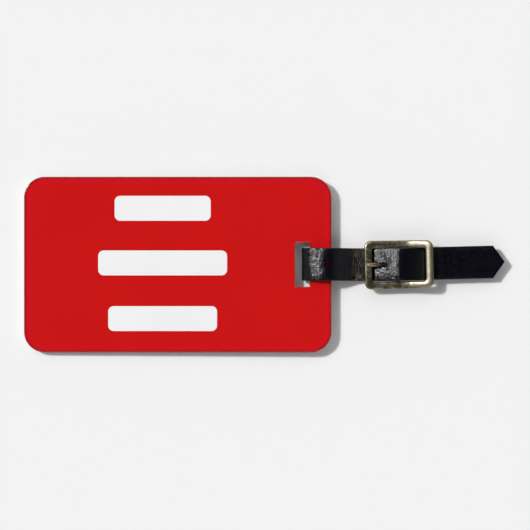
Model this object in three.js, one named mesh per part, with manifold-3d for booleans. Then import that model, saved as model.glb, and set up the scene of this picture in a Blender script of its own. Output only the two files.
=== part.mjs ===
// Luggage tag: a card-size acrylic tag on a buckled leather strap, lying flat on a table.
//
// Millimetres, +Z up. +X runs from the tag towards the strap's pointed end, +Y across the tag.
// The origin is at the middle of the object's length and width, on the table.
//
// The tag is a core plate faced with two prints under clear covers, with a slot near its +X end. One strip of leather makes the
// strap: its inner end is folded round the buckle's pin and stitched, it runs out towards +X,
// turns back along the table, comes up through the tag's slot, and goes over the tag's edge,
// through the buckle and on to its pointed end. It is divided where it bends in use.

import * as THREE from 'three';
import { mergeVertices } from 'three/addons/utils/BufferGeometryUtils.js';
import Module from 'manifold-3d';

const wasm = await Module();
wasm.setup();

// ---------------------------------------------------------------- driving dimensions

const HALF_LENGTH = 69.5;

// tag
const TAG_LENGTH = 88.9;
const TAG_WIDTH = 50.8;
const TAG_CORNER = 6.0;
const COVER_THICKNESS = 0.5;
const PRINT_THICKNESS = 0.25;
const CORE_THICKNESS = 1.42;
const PLATE_GAP = 0.02;
const RIM_BEVEL = 0.3;
const SLOT_WIDTH = 4.28;
const SLOT_LENGTH = 12.8;
const SLOT_CORNER = 0.3;
const SLOT_BRIDGE = 6.25;
const SLOT_LIFT = 1.4; // height of the tag's back at the slot, where the strap passes under it

// strap
const STRAP_WIDTH = 9.5;
const STRAP_THICKNESS = 1.0;
const SKIVED_THICKNESS = 0.7;
const CUT_GAP = 0.3;
const TAIL_CUT_GAP = 0.8;
const TAIL_POINT = 3.4;
const HOLE_DIAMETER = 1.5;
const SPARE_HOLE_X = 17.8;
const PRONG_HOLE_X = 34.1;
const PRONG_HOLE_LENGTH = 2.2;

// buckle
const PIN_X = 38.8;
const PIN_Z = 3.25;
const PIN_RADIUS = 0.7;
const PIN_CLEARANCE = 0.1;
const PIN_HALF_LENGTH = 6.2;
const FRAME_LEFT_X = 28.8;
const FRAME_RIGHT_X = 48.8;
const FRAME_LEFT_WIDTH = 14.15;
const FRAME_RIGHT_WIDTH = 13.8;
const FRAME_CORNER = 1.9;
const FRAME_THICKNESS = 1.4;
const FRAME_UNDERSIDE = 3.1;
const FRAME_BEND_X = 39.4; // where the frame starts to bend up towards its right end
const FRAME_BEND_LENGTH = 3.0;
const FRAME_SLOPE = 0.25; // beyond the bend
const LEFT_BAR = 2.46;
const RIGHT_BAR = 2.2;
const OPENING_WIDTH = 9.8;
const OPENING_CORNER = 0.5;
const LUG_RADIUS = 1.3;
const PRONG_RADIUS = 0.5;
const EYE_THICKNESS = 0.65;
const EYE_WIDTH = 1.3;
const NOTCH_WIDTH = 2.1;
const NOTCH_END_X = 41.1;

// stitches that close the fold
const STITCH_X = 43.3;
const STITCH_LENGTH = 2.4;
const STITCH_PITCH = 2.9;
const STITCH_COUNT = 3;
const STITCH_BOTTOM = 1.08;
const STITCH_TOP = 3.55;
const THREAD = 0.3;
const NEEDLE_HOLE_RADIUS = 0.4;

// ---------------------------------------------------------------- worked-out places

const TAG_THICKNESS = 2 * COVER_THICKNESS + 2 * PRINT_THICKNESS + CORE_THICKNESS + 4 * PLATE_GAP;
const TAG_TILT = Math.asin(SLOT_LIFT / (TAG_LENGTH - SLOT_BRIDGE));
const TAG_LEFT_X = -HALF_LENGTH + (TAG_THICKNESS - RIM_BEVEL) * Math.sin(TAG_TILT);
const ON_TABLE = STRAP_THICKNESS / 2;
const EYE_INNER = PIN_RADIUS + PIN_CLEARANCE;
const FOLD_RADIUS = EYE_INNER + SKIVED_THICKNESS / 2;

// Handle length of the Bezier curve that draws a quarter circle of radius 1.
const QUARTER_CIRCLE = 0.5523;

// Reach of a cutting block that has to pass right through.
const BIG = 200;

// ---------------------------------------------------------------- materials

const finish = (color, roughness, metalness, opacity = 1) =>
  new THREE.MeshStandardMaterial({ color, roughness, metalness, opacity, transparent: opacity < 1 });

const clearAcrylic = () => finish(0xf2f4f5, 0.08, 0, 0.35);
const redPrint = () => finish(0xc51818, 0.35, 0);
const whiteCard = () => finish(0xf0efeb, 0.6, 0);
const whiteCore = () => finish(0xe8e7e2, 0.45, 0);
const blackLeather = () => finish(0x17171a, 0.5, 0);
const blackThread = () => finish(0x222224, 0.8, 0);
const antiqueBrass = () => finish(0x6f6344, 0.35, 1);
const steel = () => finish(0x9a978e, 0.4, 1);

// ---------------------------------------------------------------- solids

function toSolid(geometry) {
  const bare = geometry.clone();
  bare.deleteAttribute('normal');
  bare.deleteAttribute('uv');
  const merged = mergeVertices(bare, 1e-5);
  return new wasm.Manifold(new wasm.Mesh({
    numProp: 3,
    vertProperties: new Float32Array(merged.attributes.position.array),
    triVerts: new Uint32Array(merged.index.array),
  }));
}

function toGeometry(solid) {
  const mesh = solid.getMesh();
  const geometry = new THREE.BufferGeometry();
  geometry.setAttribute('position', new THREE.BufferAttribute(mesh.vertProperties, 3));
  geometry.setIndex(new THREE.BufferAttribute(mesh.triVerts, 1));
  geometry.computeVertexNormals();
  return geometry;
}

// A shape drawn in X and Z, extruded across Y and centred on y.
function acrossY(shape, width, y = 0) {
  const geometry = new THREE.ExtrudeGeometry(shape, { depth: width, bevelEnabled: false, curveSegments: 16 });
  geometry.rotateX(Math.PI / 2);
  geometry.translate(0, y + width / 2, 0);
  return toSolid(geometry);
}

// A shape drawn in X and Y, extruded up Z from one height to another.
function upZ(shape, bottom, top) {
  const geometry = new THREE.ExtrudeGeometry(shape, {
    depth: top - bottom, bevelEnabled: false, curveSegments: 8,
  });
  geometry.translate(0, 0, bottom);
  return toSolid(geometry);
}

function box(x0, x1, y0, y1, z0, z1) {
  const geometry = new THREE.BoxGeometry(x1 - x0, y1 - y0, z1 - z0);
  geometry.translate((x0 + x1) / 2, (y0 + y1) / 2, (z0 + z1) / 2);
  return toSolid(geometry);
}

// An outline of straight sides with rounded corners.
function rounded(corners, radius, outline = new THREE.Shape()) {
  corners.forEach((corner, i) => {
    const before = corners[(i + corners.length - 1) % corners.length];
    const after = corners[(i + 1) % corners.length];
    const start = corner.clone().add(before.clone().sub(corner).setLength(radius));
    const end = corner.clone().add(after.clone().sub(corner).setLength(radius));
    if (i === 0) {
      outline.moveTo(start.x, start.y);
    } else {
      outline.lineTo(start.x, start.y);
    }
    const bulge = radius * (1 - QUARTER_CIRCLE);
    const a = corner.clone().add(before.clone().sub(corner).setLength(bulge));
    const b = corner.clone().add(after.clone().sub(corner).setLength(bulge));
    outline.bezierCurveTo(a.x, a.y, b.x, b.y, end.x, end.y);
  });
  outline.closePath();
  return outline;
}

function rectangle(x0, x1, halfWidth0, halfWidth1 = halfWidth0) {
  return [
    new THREE.Vector2(x0, -halfWidth0),
    new THREE.Vector2(x1, -halfWidth1),
    new THREE.Vector2(x1, halfWidth1),
    new THREE.Vector2(x0, halfWidth0),
  ];
}

// ---------------------------------------------------------------- tag plates

function tagOutline() {
  const outline = rounded(rectangle(0, TAG_LENGTH, TAG_WIDTH / 2), TAG_CORNER);
  const slotEnd = TAG_LENGTH - SLOT_BRIDGE;
  const slot = rectangle(slotEnd - SLOT_WIDTH, slotEnd, SLOT_LENGTH / 2);
  outline.holes.push(rounded(slot, SLOT_CORNER, new THREE.Path()));
  return outline;
}

function sheet(bottom, thickness) {
  return toGeometry(upZ(tagOutline(), bottom, bottom + thickness));
}

// A cover has its outside edges bevelled and its inside face flat.
function cover(bottom, outsideUp) {
  const geometry = new THREE.ExtrudeGeometry(tagOutline(), {
    depth: COVER_THICKNESS,
    bevelThickness: RIM_BEVEL,
    bevelSize: RIM_BEVEL,
    bevelOffset: -RIM_BEVEL,
    bevelSegments: 2,
    curveSegments: 8,
  });
  geometry.translate(0, 0, bottom + (outsideUp ? -RIM_BEVEL : RIM_BEVEL));
  const inside = box(-BIG, BIG, -BIG, BIG, bottom, bottom + COVER_THICKNESS);
  return toGeometry(toSolid(geometry).intersect(inside));
}

function makeTag() {
  const tag = new THREE.Group();
  let level = 0;
  const stack = (name, thickness, build, material) => {
    tag.add(named(name, build(level), material));
    level += thickness + PLATE_GAP;
  };
  stack('back_cover', COVER_THICKNESS, (z) => cover(z, false), clearAcrylic());
  stack('back_id_card', PRINT_THICKNESS, (z) => sheet(z, PRINT_THICKNESS), whiteCard());
  stack('core_plate', CORE_THICKNESS, (z) => sheet(z, CORE_THICKNESS), whiteCore());
  stack('front_print', PRINT_THICKNESS, (z) => sheet(z, PRINT_THICKNESS), redPrint());
  stack('front_cover', COVER_THICKNESS, (z) => cover(z, true), clearAcrylic());
  tag.position.x = TAG_LEFT_X;
  tag.rotation.y = -TAG_TILT;
  return tag;
}

// ---------------------------------------------------------------- strap route

// Points on an arc, by angle in degrees from +X towards +Z.
function arc(x, z, radius, from, to, steps, thickness = STRAP_THICKNESS) {
  return Array.from({ length: steps + 1 }, (_, i) => {
    const angle = THREE.MathUtils.degToRad(from + (to - from) * i / steps);
    return [x + radius * Math.cos(angle), z + radius * Math.sin(angle), thickness];
  });
}

// The middle of the leather as x, z and thickness, in stretches that each become one solid.
const strapStretches = {
  strap_loop: [
    [44.4, 1.6, SKIVED_THICKNESS],
    [STITCH_X, 1.77, SKIVED_THICKNESS],
    [41.0, 1.95, SKIVED_THICKNESS],
    ...arc(PIN_X, PIN_Z, FOLD_RADIUS, 270, 90, 6, SKIVED_THICKNESS),
    [40.3, 4.1, 0.8],
    [41.8, 3.3, 0.95],
    [STITCH_X, 2.7, STRAP_THICKNESS],
    [44.6, 2.38, STRAP_THICKNESS],
    [46.4, 1.8, STRAP_THICKNESS],
    [49.0, 1.65, STRAP_THICKNESS],
    [57.0, 1.7, STRAP_THICKNESS],
    ...arc(63.2, 1.3, 0.8, 90, -90, 6),
    [61.0, ON_TABLE, STRAP_THICKNESS],
    [43.0, ON_TABLE, STRAP_THICKNESS],
    [25.6, ON_TABLE, STRAP_THICKNESS],
  ],
  strap_flex_lower: [
    [23.1, ON_TABLE, STRAP_THICKNESS],
    [20.6, ON_TABLE, STRAP_THICKNESS],
  ],
  strap_slot_bend: [
    [15.6, ON_TABLE, STRAP_THICKNESS],
    ...arc(13.2, 2.4, 1.9, 270, 180, 4),
    [11.5, 3.4, STRAP_THICKNESS],
    [12.0, 4.3, STRAP_THICKNESS],
    [12.9, 4.95, STRAP_THICKNESS],
    [14.0, 5.3, STRAP_THICKNESS],
    [15.5, 5.67, STRAP_THICKNESS],
    [17.0, 5.97, STRAP_THICKNESS],
    [18.2, 6.08, STRAP_THICKNESS],
    [19.4, 5.9, STRAP_THICKNESS],
    [20.6, 5.42, STRAP_THICKNESS],
  ],
  strap_flex_upper: [
    [23.1, 3.95, STRAP_THICKNESS],
    [25.6, 2.45, STRAP_THICKNESS],
  ],
  strap_free_run: [
    [27.5, 1.95, STRAP_THICKNESS],
    [29.4, 1.9, STRAP_THICKNESS],
    [30.9, 2.1, STRAP_THICKNESS],
    [32.5, 2.74, STRAP_THICKNESS],
    [35.1, 3.88, STRAP_THICKNESS],
    [37.4, 4.88, STRAP_THICKNESS],
    [38.5, 5.28, STRAP_THICKNESS],
    [39.4, 5.42, STRAP_THICKNESS],
    [41.2, 5.15, STRAP_THICKNESS],
    [STITCH_X, 4.48, STRAP_THICKNESS],
    [45.1, 3.74, STRAP_THICKNESS],
    [46.6, 3.42, STRAP_THICKNESS],
    [48.2, 3.34, STRAP_THICKNESS],
    [50.3, 3.34, STRAP_THICKNESS],
  ],
  strap_tail: [
    [55.0, 3.24, STRAP_THICKNESS],
    [61.0, 3.2, STRAP_THICKNESS],
    [HALF_LENGTH, 3.2, STRAP_THICKNESS],
  ],
};

const route = new THREE.CatmullRomCurve3(
  Object.values(strapStretches).flat().map(([x, z, thickness]) => new THREE.Vector3(x, z, thickness)),
  false, 'centripetal',
);

// The stretch's solid: the route thickened on both sides, kept above the table, and extruded to
// the strap's width.
function ribbon(name, startGap, endGap) {
  const names = Object.keys(strapStretches);
  const before = names.slice(0, names.indexOf(name)).flatMap((n) => strapStretches[n]).length;
  const first = Math.max(before - 1, 0);
  const last = before + strapStretches[name].length - 1;
  const samplesPerPoint = 3;
  const samples = (last - first) * samplesPerPoint;
  const left = [];
  const right = [];
  for (let i = 0; i <= samples; i += 1) {
    const t = (first + i / samplesPerPoint) / (route.points.length - 1);
    const at = route.getPoint(t);
    const along = route.getTangent(t).setZ(0).normalize();
    if (i === 0) {
      at.addScaledVector(along, startGap / 2);
    }
    if (i === samples) {
      at.addScaledVector(along, -endGap / 2);
    }
    at.y = Math.max(at.y, at.z / 2);
    left.push(new THREE.Vector2(at.x - along.y * at.z / 2, at.y + along.x * at.z / 2));
    right.push(new THREE.Vector2(at.x + along.y * at.z / 2, at.y - along.x * at.z / 2));
  }
  return acrossY(new THREE.Shape([...left, ...right.reverse()]), STRAP_WIDTH);
}

// A hole straight down through the strap, round or lengthened along it.
function strapHole(x, bottom, top, length = HOLE_DIAMETER) {
  const half = (length - HOLE_DIAMETER) / 2;
  const hole = new THREE.Shape();
  hole.absarc(x + half, 0, HOLE_DIAMETER / 2, -Math.PI / 2, Math.PI / 2);
  hole.absarc(x - half, 0, HOLE_DIAMETER / 2, Math.PI / 2, 1.5 * Math.PI);
  return upZ(hole, bottom, top);
}

function stitchPlaces() {
  return Array.from({ length: STITCH_COUNT }, (_, i) => (i - (STITCH_COUNT - 1) / 2) * STITCH_PITCH);
}

function strapLoop() {
  const aboveTable = STRAP_THICKNESS + CUT_GAP / 2;
  let solid = ribbon('strap_loop', 0, CUT_GAP);
  const notch = box(PIN_X - 2, NOTCH_END_X, -NOTCH_WIDTH / 2, NOTCH_WIDTH / 2, aboveTable, BIG);
  solid = solid.subtract(notch);
  for (const y of stitchPlaces()) {
    for (const side of [-1, 1]) {
      const hole = new THREE.Shape();
      hole.absarc(STITCH_X, y + side * (STITCH_LENGTH - THREAD) / 2, NEEDLE_HOLE_RADIUS, 0, 2 * Math.PI);
      solid = solid.subtract(upZ(hole, aboveTable, BIG));
    }
  }
  return toGeometry(solid);
}

function strapSlotBend() {
  const hole = strapHole(SPARE_HOLE_X, TAG_THICKNESS + SLOT_LIFT, BIG);
  return toGeometry(ribbon('strap_slot_bend', CUT_GAP, CUT_GAP).subtract(hole));
}

function strapFreeRun() {
  const hole = strapHole(PRONG_HOLE_X, 0, BIG, PRONG_HOLE_LENGTH);
  return toGeometry(ribbon('strap_free_run', CUT_GAP, TAIL_CUT_GAP).subtract(hole));
}

function strapTail() {
  const half = STRAP_WIDTH / 2;
  const shoulder = HALF_LENGTH - TAIL_POINT;
  const plan = new THREE.Shape([
    new THREE.Vector2(PIN_X, -half),
    new THREE.Vector2(shoulder, -half),
    new THREE.Vector2(HALF_LENGTH, 0),
    new THREE.Vector2(shoulder, half),
    new THREE.Vector2(PIN_X, half),
  ]);
  return toGeometry(ribbon('strap_tail', TAIL_CUT_GAP, 0).intersect(upZ(plan, 0, BIG)));
}

function stitch(y) {
  const middle = (STITCH_TOP + STITCH_BOTTOM) / 2;
  const height = (STITCH_TOP - STITCH_BOTTOM) / 2;
  const ring = rounded(rectangle(y - STITCH_LENGTH / 2, y + STITCH_LENGTH / 2, height), THREAD);
  const inside = rectangle(y - STITCH_LENGTH / 2 + THREAD, y + STITCH_LENGTH / 2 - THREAD, height - THREAD);
  ring.holes.push(rounded(inside, THREAD / 2, new THREE.Path()));
  const geometry = new THREE.ExtrudeGeometry(ring, { depth: THREAD, bevelEnabled: false, curveSegments: 2 });
  geometry.rotateX(Math.PI / 2);
  geometry.rotateZ(Math.PI / 2);
  geometry.translate(STITCH_X - THREAD / 2, 0, middle);
  return geometry;
}

// ---------------------------------------------------------------- buckle

// Height of the frame's underside, which bends up past the pin.
function frameUnderside(x) {
  const past = Math.max(x - FRAME_BEND_X, 0);
  const bent = Math.min(past, FRAME_BEND_LENGTH);
  return FRAME_UNDERSIDE + FRAME_SLOPE * (bent ** 2 / (2 * FRAME_BEND_LENGTH) + past - bent);
}

// The frame's side view, drawn in X and Z.
function frameSide() {
  const steps = 16;
  const places = Array.from({ length: steps + 1 }, (_, i) =>
    THREE.MathUtils.lerp(FRAME_LEFT_X, FRAME_RIGHT_X, i / steps));
  const below = places.map((x) => new THREE.Vector2(x, frameUnderside(x)));
  const above = places.map((x) => new THREE.Vector2(x, frameUnderside(x) + FRAME_THICKNESS));
  return new THREE.Shape([...below, ...above.reverse()]);
}

function buckleFrame() {
  const outside = rectangle(FRAME_LEFT_X, FRAME_RIGHT_X, FRAME_LEFT_WIDTH / 2, FRAME_RIGHT_WIDTH / 2);
  const plan = rounded(outside, FRAME_CORNER);
  const opening = rectangle(FRAME_LEFT_X + LEFT_BAR, FRAME_RIGHT_X - RIGHT_BAR, OPENING_WIDTH / 2);
  plan.holes.push(rounded(opening, OPENING_CORNER, new THREE.Path()));
  let solid = upZ(plan, 0, BIG).intersect(acrossY(frameSide(), FRAME_LEFT_WIDTH + 1));

  const lugTop = frameUnderside(PIN_X) + FRAME_THICKNESS / 2;
  const lugWidth = (FRAME_RIGHT_WIDTH - OPENING_WIDTH) / 2 - 0.1;
  const blindDepth = PIN_HALF_LENGTH + PIN_CLEARANCE;
  for (const side of [-1, 1]) {
    const lug = new THREE.Shape();
    lug.absarc(PIN_X, PIN_Z, LUG_RADIUS, Math.PI, 2 * Math.PI);
    lug.lineTo(PIN_X + LUG_RADIUS, lugTop);
    lug.lineTo(PIN_X - LUG_RADIUS, lugTop);
    solid = solid.add(acrossY(lug, lugWidth, side * (OPENING_WIDTH + lugWidth) / 2));
  }
  return toGeometry(solid.subtract(pinCylinder(PIN_RADIUS + PIN_CLEARANCE, blindDepth)));
}

function pinCylinder(radius, halfLength) {
  const geometry = new THREE.CylinderGeometry(radius, radius, 2 * halfLength, 24);
  geometry.translate(PIN_X, 0, PIN_Z);
  return toSolid(geometry);
}

// The prong's wire leaves its eye low, comes up through the strap and lies on the left bar.
function prong() {
  const path = new THREE.CatmullRomCurve3([
    [37.9, 2.3], [36.6, 2.12], [35.5, 2.2], [34.5, 2.95], [33.5, 4.05],
    [32.4, 4.8], [31.1, 5.07], [29.9, 5.08],
  ].map(([x, z]) => new THREE.Vector3(x, 0, z)));
  const section = new THREE.Shape();
  section.absarc(0, 0, PRONG_RADIUS, 0, 2 * Math.PI);
  const wire = new THREE.ExtrudeGeometry(section, {
    extrudePath: path, steps: 28, bevelEnabled: false, curveSegments: 6,
  });
  const inner = EYE_INNER;
  const outer = EYE_INNER + EYE_THICKNESS;
  const half = EYE_WIDTH / 2;
  const eye = new THREE.LatheGeometry([
    new THREE.Vector2(inner, -half),
    new THREE.Vector2(outer, -half),
    new THREE.Vector2(outer, half),
    new THREE.Vector2(inner, half),
    new THREE.Vector2(inner, -half),
  ], 24);
  eye.translate(PIN_X, 0, PIN_Z);
  const bore = pinCylinder(EYE_INNER, half * 2);
  return toGeometry(toSolid(eye).add(toSolid(wire)).subtract(bore));
}

// ---------------------------------------------------------------- the object

function named(name, geometry, material) {
  const mesh = new THREE.Mesh(geometry, material);
  mesh.name = name;
  return mesh;
}

function makeStrap() {
  const strap = new THREE.Group();
  strap.add(
    named('strap_slot_bend', strapSlotBend(), blackLeather()),
    named('strap_flex_upper', toGeometry(ribbon('strap_flex_upper', CUT_GAP, CUT_GAP)), blackLeather()),
    named('strap_flex_lower', toGeometry(ribbon('strap_flex_lower', CUT_GAP, CUT_GAP)), blackLeather()),
    named('strap_loop', strapLoop(), blackLeather()),
    named('strap_free_run', strapFreeRun(), blackLeather()),
    named('strap_tail', strapTail(), blackLeather()),
  );
  stitchPlaces().forEach((y, i) => strap.add(named(`stitch_${i + 1}`, stitch(y), blackThread())));
  return strap;
}

function makeBuckle() {
  const buckle = new THREE.Group();
  buckle.add(
    named('buckle_frame', buckleFrame(), antiqueBrass()),
    named('buckle_pin', toGeometry(pinCylinder(PIN_RADIUS, PIN_HALF_LENGTH)), steel()),
    named('buckle_prong', prong(), antiqueBrass()),
  );
  return buckle;
}

const luggageTag = new THREE.Group();
luggageTag.add(makeTag(), makeStrap(), makeBuckle());

export default luggageTag;
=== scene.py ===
# Luggage tag: the looks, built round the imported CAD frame.
#
# The frame is in metres. The shapes below are worked out in millimetres, in the frame's own axes, and
# each mesh is scaled to metres as it is made. +X runs from the tag to the strap's pointed end, +Y
# across, +Z up, and the table is at height 0.

import math

import bmesh
import bpy
from mathutils import Matrix, Vector, noise


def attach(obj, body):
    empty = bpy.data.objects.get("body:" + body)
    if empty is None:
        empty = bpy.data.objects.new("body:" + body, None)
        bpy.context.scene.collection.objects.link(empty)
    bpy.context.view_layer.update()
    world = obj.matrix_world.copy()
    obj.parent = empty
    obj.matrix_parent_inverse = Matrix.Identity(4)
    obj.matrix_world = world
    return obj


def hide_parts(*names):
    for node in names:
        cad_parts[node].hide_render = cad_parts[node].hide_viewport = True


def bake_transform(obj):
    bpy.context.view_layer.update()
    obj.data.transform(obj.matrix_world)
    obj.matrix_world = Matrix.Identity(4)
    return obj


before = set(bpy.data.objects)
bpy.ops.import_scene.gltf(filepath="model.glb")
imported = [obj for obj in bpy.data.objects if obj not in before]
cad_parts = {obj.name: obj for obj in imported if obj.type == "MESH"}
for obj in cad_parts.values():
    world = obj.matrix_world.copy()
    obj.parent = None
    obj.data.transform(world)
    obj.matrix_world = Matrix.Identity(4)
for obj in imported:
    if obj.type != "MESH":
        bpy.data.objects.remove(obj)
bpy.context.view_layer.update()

MM = 0.001
REST_PLACE = "rest_place"

# ------------------------------------------------------------ sizes repeated from the CAD, in mm

HALF_LENGTH = 69.5

# tag
TAG_LENGTH = 88.9
TAG_WIDTH = 50.8
TAG_CORNER = 6.0
COVER_THICKNESS = 0.5
PRINT_THICKNESS = 0.25
CORE_THICKNESS = 1.42
PLATE_GAP = 0.02
TAG_THICKNESS = 2 * COVER_THICKNESS + 2 * PRINT_THICKNESS + CORE_THICKNESS + 4 * PLATE_GAP
RIM_BEVEL = 0.3
SLOT_WIDTH = 4.28
SLOT_LENGTH = 12.8
SLOT_CORNER = 0.3
SLOT_BRIDGE = 6.25
SLOT_LIFT = 1.4
TAG_TILT = math.asin(SLOT_LIFT / (TAG_LENGTH - SLOT_BRIDGE))
TAG_LEFT_X = -HALF_LENGTH + (TAG_THICKNESS - RIM_BEVEL) * math.sin(TAG_TILT)

# strap
STRAP_WIDTH = 9.5
STRAP_THICKNESS = 1.0
SKIVED_THICKNESS = 0.7
ON_TABLE = STRAP_THICKNESS / 2
TAIL_POINT = 3.4
HOLE_DIAMETER = 1.5
SPARE_HOLE_X = 17.8
PRONG_HOLE_X = 34.1
PRONG_HOLE_LENGTH = 2.2
NOTCH_WIDTH = 2.1
NOTCH_END_X = 41.1

# buckle
PIN_X = 38.8
PIN_Z = 3.25
PIN_RADIUS = 0.7
FRAME_LEFT_X = 28.8
FRAME_RIGHT_X = 48.8
FRAME_LEFT_WIDTH = 14.15
FRAME_RIGHT_WIDTH = 13.8
FRAME_THICKNESS = 1.4
FRAME_UNDERSIDE = 3.1
FRAME_BEND_X = 39.4
FRAME_BEND_LENGTH = 3.0
FRAME_SLOPE = 0.25
LEFT_BAR = 2.46
RIGHT_BAR = 2.2
OPENING_WIDTH = 9.8
LUG_RADIUS = 1.3
EYE_INNER = PIN_RADIUS + 0.1
EYE_WIDTH = 1.3
FOLD_RADIUS = EYE_INNER + SKIVED_THICKNESS / 2

# stitches
STITCH_X = 43.3
STITCH_LENGTH = 2.4
STITCH_PITCH = 2.9
STITCH_BOTTOM = 1.08
STITCH_TOP = 3.55
THREAD = 0.3

# ------------------------------------------------------------ node helpers


def socket(sockets, key):
    """The socket with that name that is in use, or the one with that number."""
    if isinstance(key, int):
        return sockets[key]
    return next(s for s in sockets if s.name == key and s.enabled)


class Nodes:
    """A node tree with a short way to add a node: settings by name, then inputs by socket name."""

    def __init__(self, tree):
        self.tree = tree
        tree.nodes.clear()

    def add(self, kind, inputs=None, **settings):
        node = self.tree.nodes.new(kind)
        for key, value in settings.items():
            setattr(node, key, value)
        for key, value in (inputs or {}).items():
            target = socket(node.inputs, key)
            if isinstance(value, bpy.types.NodeSocket):
                self.tree.links.new(value, target)
            else:
                target.default_value = value
        return node

    def place(self):
        """The point's place in the frame, in millimetres."""
        coordinates = self.add("ShaderNodeTexCoord")
        scaled = self.add("ShaderNodeVectorMath", {0: coordinates.outputs["Object"], "Scale": 1 / MM},
                          operation="SCALE")
        return scaled.outputs[0]

    def rest_place(self):
        """The same on a piece that bends: the point's place before it bent."""
        return self.add("ShaderNodeAttribute", attribute_name=REST_PLACE).outputs["Vector"]

    def vector(self, operation, *values):
        return self.add("ShaderNodeVectorMath", dict(enumerate(values)), operation=operation).outputs[0]

    def stretched(self, place, scale):
        return self.vector("MULTIPLY", place, scale)

    def axis(self, vector, name):
        """One axis of a vector, X, Y or Z."""
        return self.add("ShaderNodeSeparateXYZ", {0: vector}).outputs[name]

    def noise(self, place, scale, detail=3.0, roughness=0.5, distortion=0.0):
        made = self.add("ShaderNodeTexNoise", {
            "Vector": place, "Scale": scale, "Detail": detail, "Roughness": roughness,
            "Distortion": distortion,
        })
        return made.outputs["Fac"]

    def cells(self, place, scale, feature="F1", smoothness=0.4):
        inputs = {"Vector": place, "Scale": scale}
        if feature == "SMOOTH_F1":
            inputs["Smoothness"] = smoothness
        return self.add("ShaderNodeTexVoronoi", inputs, feature=feature).outputs["Distance"]

    def math(self, operation, *values):
        return self.add("ShaderNodeMath", dict(enumerate(values)), operation=operation).outputs[0]

    def spread(self, value, low, high, out_low=0.0, out_high=1.0):
        """value, taken from low..high smoothly onto out_low..out_high, and kept inside it."""
        made = self.add("ShaderNodeMapRange", {
            "Value": value, "From Min": low, "From Max": high, "To Min": out_low, "To Max": out_high,
        }, interpolation_type="SMOOTHSTEP")
        return made.outputs["Result"]

    def blend(self, share, a, b):
        made = self.add("ShaderNodeMix", {"Factor": share, "A": a, "B": b}, data_type="RGBA")
        return socket(made.outputs, "Result")

    def bump(self, height, distance, strength=1.0, normal=None):
        inputs = {"Height": height, "Distance": distance * MM, "Strength": strength}
        if normal is not None:
            inputs["Normal"] = normal
        return self.add("ShaderNodeBump", inputs).outputs["Normal"]

    def finish(self, shader):
        self.add("ShaderNodeOutputMaterial", {"Surface": shader})


def material(name):
    made = bpy.data.materials.new(name)
    made.use_nodes = True
    return made, Nodes(made.node_tree)


def grey(value):
    return (value, value, value, 1.0)


# ------------------------------------------------------------ materials


def clear_acrylic():
    """Clear plastic: bent and shiny to the eye, open to light through its faces, and nearly shut to it
    through its edges, which turn the light back inside."""
    made, n = material("clear_acrylic")
    waviness = n.noise(n.place(), 0.12, detail=1.0)
    plastic = n.add("ShaderNodeBsdfGlass", {
        "Color": grey(0.995), "Roughness": 0.0, "IOR": 1.49, "Normal": n.bump(waviness, 0.01),
    })
    facing = n.add("ShaderNodeTexCoord").outputs["Normal"]
    upright = n.math("ABSOLUTE", n.axis(facing, "Z"))
    passed = n.blend(n.spread(upright, 0.3, 0.8), grey(0.12), grey(0.985))
    window = n.add("ShaderNodeBsdfTransparent", {"Color": passed})
    eye = n.add("ShaderNodeLightPath").outputs["Is Camera Ray"]
    mixed = n.add("ShaderNodeMixShader", {0: eye, 1: window.outputs[0], 2: plastic.outputs[0]})
    n.finish(mixed.outputs[0])
    return made


def rim_depth(n, place, node):
    """How far the point is inside the outline of the tag's sheet, in millimetres. It counts up to the
    radius of the corners."""
    sides = [[vertex.co[axis] / MM for vertex in node.data.vertices] for axis in (0, 1)]
    middle = [(max(side) + min(side)) / 2 for side in sides]
    straight = [(max(side) - min(side)) / 2 - TAG_CORNER for side in sides]
    flat = n.vector("MULTIPLY", place, (1, 1, 0))
    from_middle = n.vector("ABSOLUTE", n.vector("SUBTRACT", flat, (*middle, 0)))
    past_straight = n.vector("MAXIMUM", n.vector("SUBTRACT", from_middle, (*straight, 0)), (0, 0, 0))
    reach = n.add("ShaderNodeVectorMath", {0: past_straight}, operation="LENGTH").outputs["Value"]
    return n.math("SUBTRACT", TAG_CORNER, reach)


def painted_rim_light(n, place, node, ink, color):
    """Painted light of the cover's bevelled rim on the ink: a dark painted-shade line along the edge of
    the sheet that node gives, and inside it a painted-highlight strip that is a little brighter and
    cooler."""
    red, green, blue = color[:3]
    depth = rim_depth(n, place, node)
    # Painted highlight strip inside the rim, and a painted shade line at its edge.
    painted_highlight_band = n.math("MULTIPLY", n.spread(depth, 0.7, 1.1), n.spread(depth, 1.9, 2.4, 0.6, 0.0))
    painted_shade_line = n.spread(depth, 0.2, 0.8, 0.75, 0.0)
    banded = n.blend(painted_highlight_band, ink, (red * 1.1, green * 0.8, blue * 3.4, 1))
    return n.blend(painted_shade_line, banded, (red * 0.4, green, blue, 1))


def printed(name, color, second, node=None, roughness=0.42):
    """Ink laid on film: an even colour with the faintest mottle, and a fine tooth. Along the edge of the
    sheet that node gives, painted shade and a painted highlight stand for the cover's rim."""
    made, n = material(name)
    place = n.place()
    mottle = n.spread(n.noise(place, 0.05, detail=2.0), 0.3, 0.7)
    tooth = n.noise(place, 6.0, detail=2.0)
    ink = n.blend(mottle, color, second)
    # With a sheet given, painted shade and a painted highlight of the cover's rim go over the ink.
    if node:
        ink = painted_rim_light(n, place, node, ink, color)
    shader = n.add("ShaderNodeBsdfPrincipled", {
        "Base Color": ink,
        "Roughness": n.spread(tooth, 0.2, 0.8, roughness - 0.05, roughness + 0.05),
        "Specular IOR Level": 0.04,
        "Normal": n.bump(tooth, 0.01, 0.3),
    })
    n.finish(shader.outputs[0])
    return made


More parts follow.
